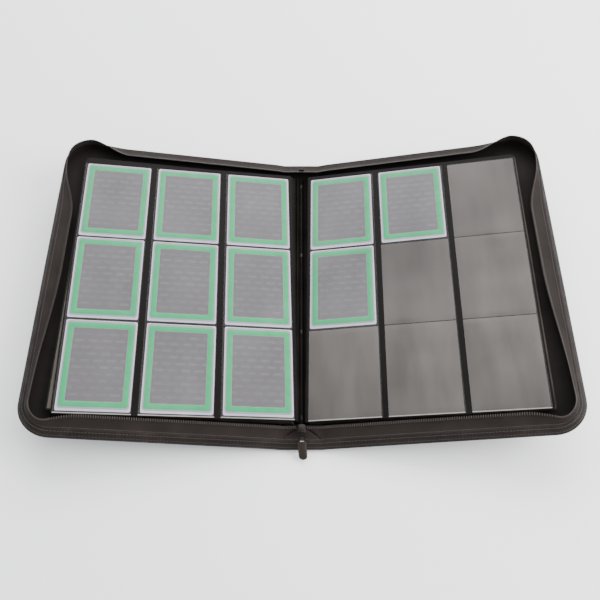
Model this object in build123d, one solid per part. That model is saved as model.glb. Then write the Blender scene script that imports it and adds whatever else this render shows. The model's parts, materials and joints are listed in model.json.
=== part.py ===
"""Zip-around trading card binder, lying open on its spine.

Millimetres. Origin at the centre of the spine's underside, X across the open
binder, Y from its lower edge to its upper edge, +Z up. Each half is built once
in a local frame whose X runs outwards from its hinge line and whose Z is the
height above it, and is then mirrored for the left half and tilted into place.
"""
import os
from math import cos, pi, radians, sin

from build123d import *

# --- driving dimensions -----------------------------------------------------
CARD = (63.0, 88.0, 0.4)          # a standard trading card in its sleeve
POCKET = (69.0, 94.0)             # one pocket cell
POCKET_GRID = 3                   # columns and rows of pockets
STRIP = 6.0                       # bare backing between two pocket columns
WELD = 0.7                        # welded rim of a pocket film
FILM = 0.1                        # pocket film thickness
SHEET = 0.15                      # black backing sheet
PAGE_MARGIN = (2.5, 1.4)          # backing beyond the pockets: spine side, outer side
FIRST_POCKET = (0.75, -142.5)     # lower spine corner of the first cell
PAGE_HEIGHT = 288.0
PAGE_CORNER = 3.0
LEAF_COUNT = 10
LEAF_PITCH = 0.6
LEAF_THICKNESS = 0.45
LEAF_GAP = 0.05                   # between the top leaf and the second
STACK_TOP = 4.8                   # top of the backing sheet above the stack's own hinge line

COVER_HALF_HEIGHT = 166.5
COVER_START = 2.0                 # cover edge beside the hinge line
COVER_REACH = 236.5               # hinge line to the outer edge
COVER_CORNER = 30.0
COVER_THICKNESS = 5.0
SKIN = 0.8
BOARD = 2.2
FOAM = 1.4
LINING = 0.6
RIM = 3.0                         # turned edge of the skin round the board
PIPING = 1.2

SPINE_HALF_WIDTH = 18.4
SPINE_BOARD = 2.5
SPINE_TOP = SKIN + SPINE_BOARD + LINING
BINDING_STRIP = (11.0, 286.0, 1.1)
RIVET_RADIUS = (1.2, 2.2)         # shank, head
RIVET_HEAD = 0.2
RIVET_PITCH = 91.0
RIVET_COUNT = 4

# --- hinge lines (x, z) and resting angles ----------------------------------
COVER_HINGE = (22.0, 2.6)
STACK_HINGE = (6.5, 7.12)
COVER_TILT = {-1: 9.3, 1: 11.15}
TOP_LEAF_SKEW = {-1: 1.6, 1: 0.8}
TOP_LEAF_RAISE = {-1: 1.6, 1: 0.2}
FAN_SHIFT = {-1: 5.0, 1: 1.4}     # how far the second leaf stands out past the first
FAN_STEP = {-1: -0.35, 1: 0.25}
FAN_SKEW = {-1: 0.25, 1: 0.5}

# --- zip edge: (rise, reach) of each strip; corners are lower (-1) and upper (1)
BAND_ON_RUN = (6.0, 5.0)          # beside the spine
BAND_ON_CORNER = {-1: (6.0, 5.0), 1: (7.0, 0.8)}
BAND_ON_SIDE = (5.0, 4.0)         # middle of the outer side
TAPE_ON_RUN = (5.4, 10.2)
TAPE_ON_CORNER = {-1: (5.0, 3.4), 1: (8.8, 1.0)}
TAPE_ON_SIDE = (4.2, 12.5)
TEETH_ON_RUN = (0.6, 0.6)
TEETH_ON_CORNER = {-1: (0.6, 0.3), 1: (0.8, 0.2)}
BAND_THICKNESS = 2.0
TAPE_THICKNESS = 0.9
TAPE_INSET = 0.9
MITRE_START = 3.0                 # where the strips begin beside the hinge
SPINE_MITRE = 17.4
# Distances along the edge from its hinge between which the strips stand up for the
# corner, sink again below the closed pages, and lean in over the outer side.
STAND_UP = {-1: (180.0, 228.0), 1: (168.0, 212.0)}
SINK = {-1: (236.0, 272.0), 1: (230.0, 268.0)}
LEAN_IN = {-1: (254.0, 394.0), 1: (256.0, 324.0)}
RUN_STOPS = (40.0, 90.0, 140.0, 160.0, 168.0, 176.0, 184.0, 192.0, 200.0)
SIDE_STOPS = (130.0, 123.0, 115.0, 106.0, 96.0, 85.0, 73.0, 60.0, 46.0, 32.0, 16.0)
CORNER_STEPS = 8

# --- slider and pull --------------------------------------------------------
SLIDER = (8.4, 9.0, 3.2)
SLIDER_CENTRE = (0.0, -152.0)
SLIDER_LIFT = 0.3
SLIDER_EASE = 0.4
BRIDGE_RADIUS = (2.3, 1.3)
BRIDGE_WIDTH = 3.0
PULL_HINGE = (-156.0, 20.2)       # y, z
PULL_PITCH = 41.0                 # how far the tab hangs below level
LINK_WIRE = 1.1
LINK_LENGTH = 7.0
LINK_WIDTH = 6.6
TAB = (8.0, 17.0, 2.0)
TAB_EYE = 3.4
TAB_HOLE = 1.4
STOP = (6.0, 3.0, 2.4)
STOP_PLACE = 152.0

NAME = {-1: "left", 1: "right"}


def slab(width, height, low, high, centre=(0.0, 0.0)):
    """A flat plate between two heights."""
    box = Box(width, height, high - low)
    return Pos(centre[0], centre[1], (low + high) / 2) * box


def onto_side(shape, side, hinge):
    """Mirror for the left half, tilt about the hinge line and move it there."""
    handed = shape if side > 0 else mirror(shape, about=Plane.YZ)
    return Pos(side * hinge[0], 0, hinge[1]) * Rot(Y=-side * COVER_TILT[side]) * handed


# --- covers -----------------------------------------------------------------
def cover_plate(low, high, inset=0.0, grow=0.0):
    """A plate with the cover's outline, square at the hinge and round outside."""
    start = COVER_START + inset
    end = COVER_REACH - inset + grow
    height = 2 * (COVER_HALF_HEIGHT - inset + grow)
    outline = Pos((start + end) / 2, 0) * Rectangle(end - start, height)
    corners = outline.vertices().sort_by(Axis.X)[-2:]
    outline = fillet(corners, COVER_CORNER - inset + grow)
    return Pos(0, 0, low) * extrude(outline, high - low)


def cover_layers():
    """Skin with its turned edge, stiff board, foam and lining, from outside in."""
    bottom = -COVER_THICKNESS / 2
    board_low = bottom + SKIN
    foam_low = board_low + BOARD
    lining_low = foam_low + FOAM
    skin = cover_plate(bottom, lining_low) - cover_plate(board_low, lining_low, RIM)
    board = cover_plate(board_low, foam_low, RIM)
    foam = cover_plate(foam_low, lining_low, RIM)
    lining = cover_plate(lining_low, lining_low + LINING)
    return {"cover_skin": skin, "cover_board": board, "cover_foam": foam, "cover_lining": lining}


def edge_piping():
    """The corded line sewn round the cover's outer edge."""
    top = COVER_THICKNESS / 2
    ring = cover_plate(top - PIPING, top, grow=PIPING) - cover_plate(top - PIPING, top)
    keep = slab(COVER_REACH, 4 * COVER_HALF_HEIGHT, -COVER_THICKNESS, COVER_THICKNESS,
                (COVER_REACH / 2 + MITRE_START + PIPING, 0))
    return ring & keep


# --- zip edge strips --------------------------------------------------------
def mix(first, second, share):
    return tuple(a + (b - a) * share for a, b in zip(first, second))


def ease(share):
    """A smooth step from 0 to 1."""
    return (1 - cos(pi * min(max(share, 0.0), 1.0))) / 2


def lean_shape(distance, end, run, corner, side):
    """A strip's (rise, reach) at a distance along the lower (-1) or upper (1) edge from its hinge."""
    stand, sink, lean = (ease((distance - start) / (stop - start))
                         for start, stop in (STAND_UP[end], SINK[end], LEAN_IN[end]))
    upright = mix(run, corner[end], stand)
    return (mix(upright, side, sink)[0], mix(upright, side, lean)[1])


def edge_path(end, *shapes):
    """Stations along half the cover's edge, from the hinge towards the middle of the outer side.

    Each is (x, y, inward x, inward y, (rise, reach)).
    """
    bend_x = COVER_REACH - COVER_CORNER
    bend_y = COVER_HALF_HEIGHT - COVER_CORNER
    path = []
    for x in (MITRE_START, *RUN_STOPS):
        path.append((x, end * COVER_HALF_HEIGHT, 0.0, -end, lean_shape(x, end, *shapes)))
    for step in range(CORNER_STEPS + 1):
        turn = radians(90.0 * step / CORNER_STEPS)
        x = bend_x + COVER_CORNER * sin(turn)
        y = bend_y + COVER_CORNER * cos(turn)
        shape = lean_shape(bend_x + COVER_CORNER * turn, end, *shapes)
        path.append((x, end * y, -sin(turn), -end * cos(turn), shape))
    for y in SIDE_STOPS:
        distance = bend_x + COVER_CORNER * pi / 2 + bend_y - y
        path.append((COVER_REACH, end * y, -1.0, 0.0, lean_shape(distance, end, *shapes)))
    return path


def whole_path(run, corner, side):
    """The edge from the hinge's lower end round to its upper end."""
    middle = (COVER_REACH, 0.0, -1.0, 0.0, side)
    return [*edge_path(-1, run, corner, side), middle, *reversed(edge_path(1, run, corner, side))]


def strip_stations(paths, thickness, base_height, inset, mitre):
    """Cross-sections of one strip standing on the strips before it.

    paths holds one whole_path for each strip up to and including this one.
    """
    stations = []
    last = len(paths[-1]) - 1
    for index, (x, y, nx, ny, shape) in enumerate(paths[-1]):
        below = [path[index][4] for path in paths[:-1]]
        rise = base_height + sum(item[0] for item in below)
        reach = inset + sum(item[1] for item in below)
        slide = rise - base_height if mitre and index in (0, last) else 0.0
        slide_top = slide + shape[0] if mitre and index in (0, last) else 0.0
        low = (x + slide + nx * reach, y + ny * reach, rise)
        top_reach = reach + shape[1]
        high = (x + slide_top + nx * top_reach, y + ny * top_reach, rise + shape[0])
        across = (nx * thickness, ny * thickness, 0.0)
        low_in = tuple(a + b for a, b in zip(low, across))
        high_in = tuple(a + b for a, b in zip(high, across))
        stations.append((low, high, high_in, low_in))
    return stations


def triangle(first, second, third):
    return Face(Wire.make_polygon([first, second, third], close=True))


def ribbon(stations):
    """A closed solid through four-cornered cross-sections, in flat triangles."""
    faces = []
    for here, there in zip(stations, stations[1:]):
        for corner in range(4):
            after = (corner + 1) % 4
            faces.append(triangle(here[corner], here[after], there[after]))
            faces.append(triangle(here[corner], there[after], there[corner]))
    for end in (stations[0], stations[-1]):
        faces.append(triangle(end[0], end[1], end[2]))
        faces.append(triangle(end[0], end[2], end[3]))
    solid = Solid(Shell(faces))
    if solid.volume < 0:
        solid = Solid(Shell([-face for face in faces]))
    return solid


def edge_strips():
    """The stitched band, the zipper tape and the line of teeth along one cover."""
    base = COVER_THICKNESS / 2
    band = whole_path(BAND_ON_RUN, BAND_ON_CORNER, BAND_ON_SIDE)
    tape = whole_path(TAPE_ON_RUN, TAPE_ON_CORNER, TAPE_ON_SIDE)
    bead = whole_path(TEETH_ON_RUN, TEETH_ON_CORNER, TEETH_ON_RUN)
    return {
        "edge_band": ribbon(strip_stations([band], BAND_THICKNESS, base, 0.0, True)),
        "zipper_tape": ribbon(strip_stations([band, tape], TAPE_THICKNESS, base, TAPE_INSET, True)),
        "zipper_teeth": ribbon(strip_stations([band, tape, bead], TAPE_THICKNESS, base, TAPE_INSET, True)),
    }


def spine_strip(shape, low_rise, low_reach, thickness):
    """One strip across the spine's lower end, cut back at 45 degrees at both sides."""
    rise, reach = shape
    stations = []
    for side in (-1, 1):
        low_x = side * (SPINE_MITRE - low_rise)
        high_x = side * (SPINE_MITRE - low_rise - rise)
        low_y = -COVER_HALF_HEIGHT + low_reach
        low_z = SPINE_TOP + low_rise
        low = (low_x, low_y, low_z)
        high = (high_x, low_y + reach, low_z + rise)
        high_in = (high_x, low_y + reach + thickness, low_z + rise)
        low_in = (low_x, low_y + thickness, low_z)
        stations.append((low, high, high_in, low_in))
    return ribbon(stations)


def both_ends(shape):
    """The same piece at the spine's lower and upper end."""
    return Compound([shape, mirror(shape, about=Plane.XZ)])


def spine_strips():
    band = spine_strip(BAND_ON_RUN, 0.0, 0.0, BAND_THICKNESS)
    tape_low = (BAND_ON_RUN[0], BAND_ON_RUN[1] + TAPE_INSET)
    tape = spine_strip(TAPE_ON_RUN, tape_low[0], tape_low[1], TAPE_THICKNESS)
    return {"spine_edge_band": both_ends(band), "spine_zipper_tape": both_ends(tape)}


# --- spine ------------------------------------------------------------------
def rivet_places():
    middle = (RIVET_COUNT - 1) / 2
    return [Pos(0, (index - middle) * RIVET_PITCH, 0) for index in range(RIVET_COUNT)]


def spine_layers():
    """Skin, board, lining and the strip that the page margins are bound in."""
    width = 2 * SPINE_HALF_WIDTH
    height = 2 * COVER_HALF_HEIGHT
    board_top = SKIN + SPINE_BOARD
    strip_top = SPINE_TOP + BINDING_STRIP[2]
    hollow = slab(width - RIM, height - 2 * RIM, SKIN, board_top)
    skin = slab(width, height, 0, board_top) - hollow
    board = hollow
    lining = slab(width, height, board_top, SPINE_TOP)
    strip = slab(BINDING_STRIP[0], BINDING_STRIP[1], SPINE_TOP, strip_top)
    rivets = []
    for place in rivet_places():
        shank = place * Pos(0, 0, (SKIN + strip_top) / 2) * Cylinder(RIVET_RADIUS[0], strip_top - SKIN)
        head = place * Pos(0, 0, strip_top + RIVET_HEAD / 2) * Cylinder(RIVET_RADIUS[1], RIVET_HEAD)
        board = board - shank
        lining = lining - shank
        strip = strip - shank
        rivets.append(shank + head)
    return {
        "spine_skin": skin,
        "spine_board": board,
        "spine_lining": lining,
        "page_binding_strip": strip,
        "binding_rivets": Compound(rivets),
    }


# --- pages ------------------------------------------------------------------
PAGE_START = FIRST_POCKET[0] - PAGE_MARGIN[0]
POCKETS_START = PAGE_START + PAGE_MARGIN[0]
GRID_WIDTH = POCKET_GRID * POCKET[0] + (POCKET_GRID - 1) * STRIP
PAGE_WIDTH = PAGE_MARGIN[0] + GRID_WIDTH + PAGE_MARGIN[1]


def page_plate(low, high):
    outline = Pos(PAGE_START + PAGE_WIDTH / 2, 0) * Rectangle(PAGE_WIDTH, PAGE_HEIGHT)
    outline = fillet(outline.vertices().sort_by(Axis.X)[-2:], PAGE_CORNER)
    return Pos(0, 0, low) * extrude(outline, high - low)


def lay_page(shape, side, skew, shift=0.0, rise=0.0):
    """Turn a page in its own plane about its lower spine corner, then lay it on its side."""
    corner = (PAGE_START, -PAGE_HEIGHT / 2)
    turned = Pos(corner[0], corner[1]) * Rot(Z=-skew) * Pos(-corner[0], -corner[1]) * shape
    return onto_side(Pos(shift, rise, 0) * turned, side, STACK_HINGE)


def pocket_centres():
    """Cell centres, by row from the top and column from the spine."""
    for row in range(POCKET_GRID):
        y = FIRST_POCKET[1] + POCKET[1] * (POCKET_GRID - row - 0.5)
        for column in range(POCKET_GRID):
            x = POCKETS_START + POCKET[0] / 2 + column * (POCKET[0] + STRIP)
            yield row, column, x, y


def pocket_film(x, y, low, high, opens_down):
    """A film welded on three sides of its cell and open on the spine side."""
    depth = high - low - FILM
    inside_low = low if opens_down else low + FILM
    block = slab(POCKET[0], POCKET[1], low, high, (x, y))
    inside = slab(POCKET[0], POCKET[1] - 2 * WELD, inside_low, inside_low + depth, (x - WELD, y))
    return block - inside


def pocket_films(low, high, opens_down):
    films = [pocket_film(x, y, low, high, opens_down) for row, column, x, y in pocket_centres()]
    return Compound(films)


def card_row(wanted_row, columns):
    """The sleeved cards in one row of pockets."""
    low = STACK_TOP
    cards = []
    for row, column, x, y in pocket_centres():
        if row == wanted_row and column in columns:
            cards.append(slab(CARD[0], CARD[1], low, low + CARD[2], (x - WELD, y)))
    return Compound(cards) if len(cards) > 1 else cards[0]


CARD_PLACES = {
    -1: {"upper": (0, (0, 1, 2)), "middle": (1, (0, 1, 2)), "lower": (2, (0, 1, 2))},
    1: {"upper": (0, (0, 1)), "middle": (1, (0,))},
}


def top_leaf(side):
    """The uppermost leaf of one half: backing sheet, pockets on both faces and cards."""
    sheet_low = STACK_TOP - SHEET
    front_top = STACK_TOP + CARD[2] + FILM
    pieces = {
        "top_leaf_sheet": page_plate(sheet_low, STACK_TOP),
        "front_pockets": pocket_films(STACK_TOP, front_top, True),
        "back_pockets": pocket_films(sheet_low - 2 * FILM, sheet_low, False),
    }
    for label, (row, columns) in CARD_PLACES[side].items():
        pieces[f"{label}_cards"] = card_row(row, columns)
    skew = TOP_LEAF_SKEW[side]
    return {name: lay_page(shape, side, skew, rise=TOP_LEAF_RAISE[side]) for name, shape in pieces.items()}


def lower_leaves(side):
    leaves = {}
    for number in range(2, LEAF_COUNT + 1):
        top = STACK_TOP - LEAF_PITCH * (number - 1) - LEAF_GAP
        shift = FAN_SHIFT[side] + FAN_STEP[side] * (number - 2)
        plate = page_plate(top - LEAF_THICKNESS, top)
        leaves[f"leaf_{number}"] = lay_page(plate, side, FAN_SKEW[side], shift)
    return leaves


# --- slider and pull --------------------------------------------------------
def tape_top():
    return SPINE_TOP + BAND_ON_RUN[0] + TAPE_ON_RUN[0]


def zipper_slider():
    """Slider body with a bridge for the pull's link."""
    low = tape_top() + SLIDER_LIFT
    top = low + SLIDER[2]
    body = slab(SLIDER[0], SLIDER[1], low, top, SLIDER_CENTRE)
    body = fillet(body.edges().filter_by(Axis.Z), SLIDER[0] / 4)
    body = fillet(body.faces().sort_by(Axis.Z)[-1].edges(), SLIDER_EASE)
    bridge = Cylinder(BRIDGE_RADIUS[0], BRIDGE_WIDTH) - Cylinder(BRIDGE_RADIUS[1], BRIDGE_WIDTH)
    return body + Pos(0, PULL_HINGE[0], PULL_HINGE[1]) * Rot(Y=90) * bridge


def tape_stop():
    """The small metal stop at the zip's upper end, on the spine."""
    low = tape_top()
    block = slab(STOP[0], STOP[1], low, low + STOP[2], (0, STOP_PLACE))
    return fillet(block.edges().filter_by(Axis.Z), STOP[1] / 4)


def hang(shape):
    """From the pull's own frame, with the tab along -Y from its hinge, to where it hangs."""
    return Pos(0, PULL_HINGE[0], PULL_HINGE[1]) * Rot(X=PULL_PITCH) * shape


def pull_link():
    """A square wire link: one bar in the slider's bridge, the other in the tab."""
    link = None
    for y in (0.0, -LINK_LENGTH):
        bar = Pos(0, y, 0) * Rot(Y=90) * Cylinder(LINK_WIRE / 2, LINK_WIDTH)
        link = bar if link is None else link + bar
    for x in (-1, 1):
        leg = Box(LINK_WIRE, LINK_LENGTH + LINK_WIRE, LINK_WIRE)
        link = link + Pos(x * (LINK_WIDTH - LINK_WIRE) / 2, -LINK_LENGTH / 2, 0) * leg
    return hang(link)


def pull_tab():
    """A flat tab with a narrow eye and a round end."""
    start = -LINK_LENGTH + TAB_EYE / 2
    shoulder = start - TAB_EYE
    blade_length = TAB[1] - TAB[0] / 2
    blade = Pos(0, shoulder - blade_length / 2, 0) * Box(TAB[0], blade_length, TAB[2])
    end = Pos(0, shoulder - blade_length, 0) * Cylinder(TAB[0] / 2, TAB[2])
    eye = Pos(0, start - TAB_EYE / 2, 0) * Box(BRIDGE_WIDTH, TAB_EYE, TAB[2])
    hole = Pos(0, -LINK_LENGTH, 0) * Rot(Y=90) * Cylinder(TAB_HOLE / 2, TAB[0])
    tab = blade + end + eye - hole
    return hang(tab)


# --- assembly ---------------------------------------------------------------
def build():
    parts = spine_layers() | spine_strips()
    parts["zipper_slider"] = zipper_slider()
    parts["zipper_end_stop"] = tape_stop()
    parts["pull_link"] = pull_link()
    parts["pull_tab"] = pull_tab()
    cover = cover_layers() | edge_strips()
    cover["edge_piping"] = edge_piping()
    for side, name in NAME.items():
        for label, shape in cover.items():
            parts[f"{name}_{label}"] = onto_side(shape, side, COVER_HINGE)
        for label, shape in (top_leaf(side) | lower_leaves(side)).items():
            parts[f"{name}_{label}"] = shape
    return parts


os.makedirs("parts", exist_ok=True)
for node, solid in build().items():
    export_step(solid, f"parts/{node}.step")
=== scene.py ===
import json
from math import cos, exp, hypot, pi, radians, sin, sqrt, tau

import bmesh
import bpy
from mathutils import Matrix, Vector, noise


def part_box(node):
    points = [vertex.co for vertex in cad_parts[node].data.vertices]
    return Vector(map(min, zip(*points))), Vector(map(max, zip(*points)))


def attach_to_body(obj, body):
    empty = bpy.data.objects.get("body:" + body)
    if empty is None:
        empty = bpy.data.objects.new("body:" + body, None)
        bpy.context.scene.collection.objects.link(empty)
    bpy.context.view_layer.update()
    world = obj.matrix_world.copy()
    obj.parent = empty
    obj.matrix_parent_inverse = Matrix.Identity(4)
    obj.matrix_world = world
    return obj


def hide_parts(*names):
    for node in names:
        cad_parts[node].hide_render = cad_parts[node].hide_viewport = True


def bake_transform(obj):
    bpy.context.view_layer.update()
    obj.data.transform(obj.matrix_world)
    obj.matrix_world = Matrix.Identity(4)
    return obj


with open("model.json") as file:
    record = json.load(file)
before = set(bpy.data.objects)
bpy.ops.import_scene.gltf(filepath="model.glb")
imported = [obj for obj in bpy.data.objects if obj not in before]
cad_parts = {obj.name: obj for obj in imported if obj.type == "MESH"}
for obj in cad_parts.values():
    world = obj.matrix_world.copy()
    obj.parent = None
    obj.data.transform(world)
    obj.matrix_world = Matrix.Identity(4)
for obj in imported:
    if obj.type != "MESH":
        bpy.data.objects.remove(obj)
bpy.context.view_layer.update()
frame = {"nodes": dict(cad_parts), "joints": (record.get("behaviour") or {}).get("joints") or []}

MM = 0.001
SHARP_FROM = radians(62.0)
SIDES = {-1: "left", 1: "right"}
JOINTS = {joint["name"]: joint for joint in frame["joints"]}

# --- sizes, in millimetres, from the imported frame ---
HINGE_X = JOINTS["right_cover_fold"]["pos_m"][0] / MM
HINGE_Z = JOINTS["right_cover_fold"]["pos_m"][2] / MM
STACK_X = JOINTS["right_pages_follow"]["pos_m"][0] / MM
STACK_Z = JOINTS["right_pages_follow"]["pos_m"][2] / MM
TILT = {s: radians(-JOINTS[f"{n}_cover_fold"]["range_deg"][0]) for s, n in SIDES.items()}
HALF_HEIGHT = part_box("spine_skin")[1].y / MM
SPINE_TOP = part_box("spine_lining")[1].z / MM
STRIP_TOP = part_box("page_binding_strip")[1].z / MM
COVER_REACH = 236.5
COVER_CORNER = 30.0
COVER_LOW = HINGE_Z - 2.5
COVER_TOP = HINGE_Z + 2.5

# --- zip edge: (rise, reach) beside the spine, at a corner and on the outer side ----
BAND_SHAPES = ((6.0, 5.0), {-1: (6.0, 5.0), 1: (6.8, 1.4)}, (5.0, 4.0))
TAPE_SHAPES = ((5.2, 11.2), {-1: (5.2, 3.8), 1: (8.6, 1.5)}, (4.2, 12.5))
TAPE_INSET = 0.9
TAPE_WIDTH = 13.0
TEETH_PITCH = 2.1
TEETH_FROM = 4.4
FOLD_FROM, FOLD_TO = 3.0, 17.0
FOLD_HIGH, FOLD_LOW = 0.86, 0.12
FOLD_DEPTH, FOLD_WIDTH = 2.3, 1.0
# Distances from the hinge, along the lower (-1) or upper (1) edge, between which the
# strips stand up for the corner, sink again, and lean in over the outer side.
STAND_UP = {-1: (180.0, 228.0), 1: (168.0, 212.0)}
SINK = {-1: (236.0, 272.0), 1: (230.0, 268.0)}
LEAN_IN = {-1: (254.0, 394.0), 1: (256.0, 324.0)}

# --- which stretch of the case rides on which body ---
SPINE_PART = 8.0
HINGE_PART = 38.0
BEND_FROM, BEND_TO = 12.0, 32.0

# --- pages ---
CELL = (69.0, 94.0)
GRID = 3
STRIP = 6.0
POCKETS_START = 0.75
POCKETS_LOW = -142.5
PAGE_START = -1.75
PAGE_BOTTOM = -144.0
STACK_TOP = 4.8
LEAF_PITCH = 0.6
TOP_SKEW = {-1: 1.6, 1: 0.8}
TOP_RAISE = {-1: 1.6, 1: 0.2}
FAN_SHIFT = {-1: 5.0, 1: 1.4}
FAN_SKEW = {-1: 0.25, 1: 0.5}
FILM_STEPS = (22, 28)
WELD_HALF, WELD_RISE = 0.55, 0.22
FULL_POCKETS = {
    -1: {(row, column) for row in range(GRID) for column in range(GRID)},
    1: {(0, 0), (0, 1), (1, 0)},
}


# ============ mesh helpers ============
def ease(share):
    """A smooth step from 0 to 1."""
    return (1 - cos(pi * min(max(share, 0.0), 1.0))) / 2


def mix(first, second, share):
    return tuple(a + (b - a) * share for a, b in zip(first, second))


def add_mesh(name, points, faces, materials, uvs=None, face_materials=None, smooth=True):
    """A mesh object from points in millimetres; uvs is one (u, v) in millimetres per point."""
    mesh = bpy.data.meshes.new(name)
    mesh.from_pydata([tuple(c * MM for c in p) for p in points], [], faces)
    for material in materials:
        mesh.materials.append(material)
    if uvs:
        layer = mesh.uv_layers.new(name="UVMap")
        for loop in mesh.loops:
            layer.data[loop.index].uv = tuple(c * MM for c in uvs[loop.vertex_index])
    if face_materials:
        for polygon, index in zip(mesh.polygons, face_materials):
            polygon.material_index = index
    for polygon in mesh.polygons:
        polygon.use_smooth = smooth
    mesh.update()
    piece = bpy.data.objects.new(name, mesh)
    bpy.context.scene.collection.objects.link(piece)
    return piece


class Shape:
    """Collects points, faces, uvs and material numbers, then makes one mesh object."""

    def __init__(self):
        self.points, self.faces, self.uvs, self.slots = [], [], [], []

    def point(self, place, uv=(0.0, 0.0)):
        self.points.append(tuple(place))
        self.uvs.append(uv)
        return len(self.points) - 1

    def face(self, corners, slot=0):
        self.faces.append(tuple(corners))
        self.slots.append(slot)

    def grid(self, rows, slot=0, flip=False, ring=False):
        """Quads between rows of point numbers."""
        for here, there in zip(rows, rows[1:]):
            count = len(here) if ring else len(here) - 1
            for i in range(count):
                j = (i + 1) % len(here)
                quad = (here[i], here[j], there[j], there[i])
                self.face(reversed(quad) if flip else quad, slot)

    def capped(self, rows, flip=False):
        """A closed skin through rings of points, with a face at each end."""
        self.grid(rows, ring=True)
        self.face(reversed(rows[0]) if flip else rows[0])
        self.face(rows[-1] if flip else reversed(rows[-1]))

    def make(self, name, *materials, smooth=True):
        return add_mesh(name, self.points, self.faces, materials, self.uvs, self.slots, smooth)

    def solid(self, name, *materials, smooth=True):
        """A closed piece, with its normals outwards."""
        piece = self.make(name, *materials, smooth=smooth)
        outward(piece)
        return piece


def outward(piece):
    """Turn all normals outwards and keep the crisp edges crisp."""
    mesh = bmesh.new()
    mesh.from_mesh(piece.data)
    bmesh.ops.recalc_face_normals(mesh, faces=mesh.faces)
    mesh.to_mesh(piece.data)
    mesh.free()
    piece.data.set_sharp_from_angle(angle=SHARP_FROM)


# ============ from flat case to rest ============
def lay_case(x, y, z):
    """Bend the flat, fully opened case up at its two hinge lines to its resting tilt."""
    side = -1 if x < 0 else 1
    turn = TILT[side] * ease((abs(x) - BEND_FROM) / (BEND_TO - BEND_FROM))
    out, up = abs(x) - HINGE_X, z - HINGE_Z
    along = HINGE_X + out * cos(turn) - up * sin(turn)
    return side * along, y, HINGE_Z + out * sin(turn) + up * cos(turn)


def lay_page(side, skew=0.0, shift=0.0, rise=0.0):
    """A function that takes a page's own (out, y, height) to its place on the resting stack."""
    angle = radians(skew)

    def place(out, y, height):
        along, across = out - PAGE_START, y - PAGE_BOTTOM
        u = PAGE_START + along * cos(angle) + across * sin(angle) + shift
        v = PAGE_BOTTOM - along * sin(angle) + across * cos(angle) + rise
        tilt = TILT[side]
        x = STACK_X + u * cos(tilt) - height * sin(tilt)
        return (side * x, v, STACK_Z + u * sin(tilt) + height * cos(tilt))
    return place


def attach(piece, body, slot_name, *nodes):
    """Ride one body; a piece that spans the hinge between the spine and a cover is only baked where it
    lies.
    """
    if isinstance(body, tuple):
        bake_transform(piece)
    else:
        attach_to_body(piece, body)
    if nodes:
        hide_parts(*nodes)
    return piece


# ============ materials ============
class Nodes:
    """A small helper that builds one node material."""

    def __init__(self, name, color, roughness, **sockets):
        self.material = bpy.data.materials.new(name)
        self.material.use_nodes = True
        self.tree = self.material.node_tree
        self.shader = self.tree.nodes["Principled BSDF"]
        self.shader.inputs["Base Color"].default_value = (*color, 1.0)
        self.shader.inputs["Roughness"].default_value = roughness
        for label, value in sockets.items():
            self.shader.inputs[label.replace("_", " ")].default_value = value

    def add(self, kind, **settings):
        node = self.tree.nodes.new(kind)
        for label, value in settings.items():
            if hasattr(node, label):
                setattr(node, label, value)
            else:
                node.inputs[label.replace("_", " ")].default_value = value
        return node

    def link(self, source, target):
        self.tree.links.new(source, target)
        return source

    def coordinates(self, kind="Object"):
        return self.add("ShaderNodeTexCoord").outputs[kind]

    def scaled(self, vector, scale, turn=0.0):
        node = self.add("ShaderNodeMapping")
        node.inputs["Scale"].default_value = scale
        node.inputs["Rotation"].default_value = (0, 0, turn)
        self.link(vector, node.inputs["Vector"])
        return node.outputs["Vector"]

    def noise(self, vector, scale, detail=3.0, roughness=0.55):
        node = self.add("ShaderNodeTexNoise", Scale=scale, Detail=detail, Roughness=roughness)
        self.link(vector, node.inputs["Vector"])
        return node.outputs["Fac"]

    def cells(self, vector, scale, feature="F1"):
        node = self.add("ShaderNodeTexVoronoi", feature=feature, Scale=scale)
        self.link(vector, node.inputs["Vector"])
        return node.outputs["Distance"]

    def wave(self, vector, scale, direction="X", distortion=0.0):
        node = self.add("ShaderNodeTexWave", bands_direction=direction, Scale=scale, Distortion=distortion)
        self.link(vector, node.inputs["Vector"])
        return node.outputs["Fac"]

    def math(self, operation, first, second=0.0, third=None):
        node = self.add("ShaderNodeMath", operation=operation)
        for socket, value in zip(node.inputs, (first, second, third)):
            if value is None:
                continue
            if hasattr(value, "links"):
                self.link(value, socket)
            else:
                socket.default_value = value
        return node.outputs["Value"]

    def ramp(self, value, *stops):
        """stops are (position, colour or grey)."""
        node = self.add("ShaderNodeValToRGB")
        elements = node.color_ramp.elements
        while len(elements) < len(stops):
            elements.new(0.5)
        for element, (position, color) in zip(elements, stops):
            element.position = position
            element.color = (*color, 1.0) if hasattr(color, "__len__") else (color, color, color, 1.0)
        self.link(value, node.inputs["Fac"])
        return node.outputs["Color"]

    def spread(self, value, low, high):
        """Stretch the values between low and high to 0 to 1."""
        return self.ramp(value, (low, 0.0), (high, 1.0))

    def mixed(self, share, first, second):
        node = self.add("ShaderNodeMix", data_type="RGBA")
        sockets = (node.inputs["Factor"], node.inputs[6], node.inputs[7])
        for socket, value in zip(sockets, (share, first, second)):
            if hasattr(value, "links"):
                self.link(value, socket)
            elif hasattr(value, "__len__"):
                socket.default_value = (*value, 1.0)
            else:
                socket.default_value = value
        return node.outputs[2]

    def set(self, label, value):
        self.link(value, self.shader.inputs[label])

    def bump(self, *layers):
        """layers are (height, strength, distance in metres), from fine to coarse."""
        normal = None
        for height, strength, distance in layers:
            node = self.add("ShaderNodeBump", Strength=strength, Distance=distance)
            self.link(height, node.inputs["Height"])
            if normal is not None:
                self.link(normal, node.inputs["Normal"])
            normal = node.outputs["Normal"]
        self.link(normal, self.shader.inputs["Normal"])


def shade(color, factor):
    return tuple(min(1.0, factor * c) for c in color)


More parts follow.
